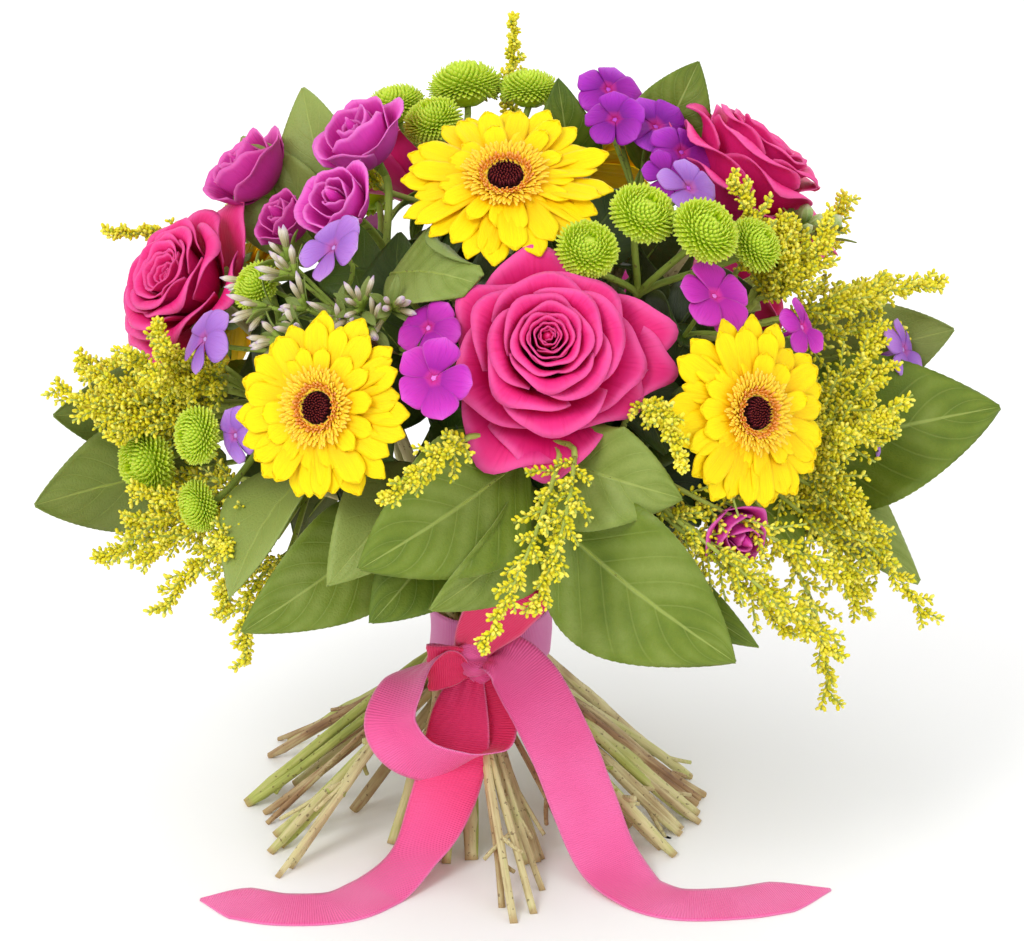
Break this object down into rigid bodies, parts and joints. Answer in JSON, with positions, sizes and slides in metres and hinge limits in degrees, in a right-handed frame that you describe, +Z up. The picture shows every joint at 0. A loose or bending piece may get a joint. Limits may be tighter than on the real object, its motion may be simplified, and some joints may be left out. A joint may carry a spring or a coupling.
{
  "type": "mixed flower bouquet",
  "caption": "Hand-tied domed bouquet of daisies, roses, small blooms, leaves and yellow sprays, bound with a ribbon bow and standing on its splayed cut stems.",
  "frame": {"origin": "the middle of the bouquet's footprint on the surface that it stands on", "axes": "+Z up, -Y towards the ribbon bow at the front, +X to the right of someone who faces the bow"},
  "size_m": [0.3582, 0.3183, 0.3021],
  "materials": {
    "gerbera_petal": "satin petals, bright yellow",
    "gerbera_disc": "matt, dark maroon",
    "rose_petal": "satin petals, hot pink with crimson folds",
    "freesia_petal": "satin petals, magenta",
    "phlox_petal": "soft petals, violet with a pink eye",
    "button_green": "matt, lime green",
    "bud_green": "matt, pale green to violet",
    "leaf_green": "leathery, grey green to olive",
    "goldenrod_yellow": "matt, yellow florets on green",
    "stem_green": "satin, yellow green with brown specks",
    "ribbon_pink": "ribbed woven ribbon, soft sheen",
    "twine_brown": "matt twisted cord"
  },
  "bodies": {
    "root": {"gerbera_top_petals": "gerbera_petal", "gerbera_top_disc": "gerbera_disc", "gerbera_left_petals": "gerbera_petal", "gerbera_left_disc": "gerbera_disc", "gerbera_right_petals": "gerbera_petal", "gerbera_right_disc": "gerbera_disc", "gerbera_back_petals": "gerbera_petal", "gerbera_back_disc": "gerbera_disc", "gerbera_back_left_petals": "gerbera_petal", "gerbera_back_left_disc": "gerbera_disc", "rose_front": "rose_petal", "rose_left": "rose_petal", "rose_right": "rose_petal", "rose_back_left": "rose_petal", "rose_back_right": "rose_petal", "freesia_left": "freesia_petal", "freesia_top": "freesia_petal", "freesia_low": "freesia_petal", "freesia_back": "freesia_petal", "phlox_front": "phlox_petal", "phlox_top": "phlox_petal", "phlox_right": "phlox_petal", "phlox_left": "phlox_petal", "phlox_far_right": "phlox_petal", "phlox_back": "phlox_petal", "button_top": "button_green", "button_right": "button_green", "button_left": "button_green", "button_back": "button_green", "buds_left": "bud_green", "buds_right": "bud_green", "stem_bundle": "stem_green", "binding_twine": "twine_brown", "ribbon": "ribbon_pink", "leaves_left": "leaf_green", "leaves_front_left": "leaf_green", "leaves_front": "leaf_green", "leaves_front_right": "leaf_green", "leaves_right_low": "leaf_green", "leaves_right": "leaf_green", "leaves_top_right": "leaf_green", "leaves_top_left": "leaf_green", "leaves_middle": "leaf_green", "leaves_back_right": "leaf_green", "leaves_back": "leaf_green", "leaves_back_left": "leaf_green", "goldenrod_left": "goldenrod_yellow", "goldenrod_left_low": "goldenrod_yellow", "goldenrod_left_high": "goldenrod_yellow", "goldenrod_top": "goldenrod_yellow", "goldenrod_front": "goldenrod_yellow", "goldenrod_front_right": "goldenrod_yellow", "goldenrod_right_high": "goldenrod_yellow", "goldenrod_right": "goldenrod_yellow", "goldenrod_back_right": "goldenrod_yellow", "goldenrod_back": "goldenrod_yellow", "goldenrod_back_left": "goldenrod_yellow"}
  },
  "joints": []
}
